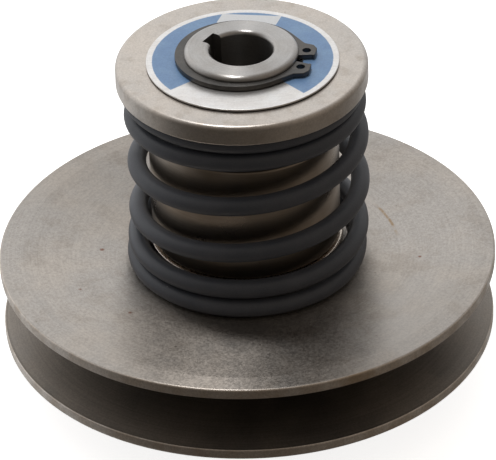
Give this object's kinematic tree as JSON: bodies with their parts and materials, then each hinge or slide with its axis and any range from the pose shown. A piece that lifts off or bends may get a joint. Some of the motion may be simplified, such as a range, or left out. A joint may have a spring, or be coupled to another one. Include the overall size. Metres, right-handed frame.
{
  "type": "variable speed pulley",
  "caption": "Spring-loaded variable-speed V-belt pulley: fixed and sliding cone flanges, collar, coil spring, cap and snap ring on a keyed hub sleeve.",
  "frame": {"origin": "centre of the lower face, where the set-screw boss and the sleeve's foot stand", "axes": "+Z along the shaft axis, from the set-screw boss to the spring cap; +X to the right and +Y to the back, with the snap ring's gap 12.5 degrees clockwise of +X"},
  "size_m": [0.127, 0.127, 0.0923],
  "materials": {
    "turned_steel": "turned, satin",
    "flange_steel": "machined, oiled and slightly stained",
    "polished_steel": "ground and polished",
    "cap_steel": "satin",
    "key_steel": "bright drawn",
    "black_steel": "black oxide",
    "spring_coat": "matte blue-black",
    "plate_paint": "printed blue and silver",
    "bronze": "sintered bronze",
    "felt": "wool felt"
  },
  "bodies": {
    "sleeve_side": {"hub_sleeve": "turned_steel", "fixed_flange": "flange_steel", "flange_key": "key_steel", "set_screw_on_key": "black_steel", "set_screw_on_shaft": "black_steel", "drive_key_front": "key_steel", "drive_key_back": "key_steel", "spring_cap": "cap_steel", "cap_plate": "plate_paint", "retaining_ring": "black_steel", "compression_spring": "spring_coat"},
    "sliding_flange": {"movable_flange": "flange_steel", "movable_hub": "polished_steel", "lower_bushing": "bronze", "upper_bushing": "bronze", "lower_wiper": "felt", "upper_wiper": "felt"}
  },
  "joints": [
    {"name": "flange_slide", "type": "slide", "parent": "sleeve_side", "child": "sliding_flange", "axis": [0, 0, 1], "range_m": [0, 0.0127], "stiffness_N_per_m": 8300, "springref_m": -0.02, "deforming": ["compression_spring"]}
  ]
}
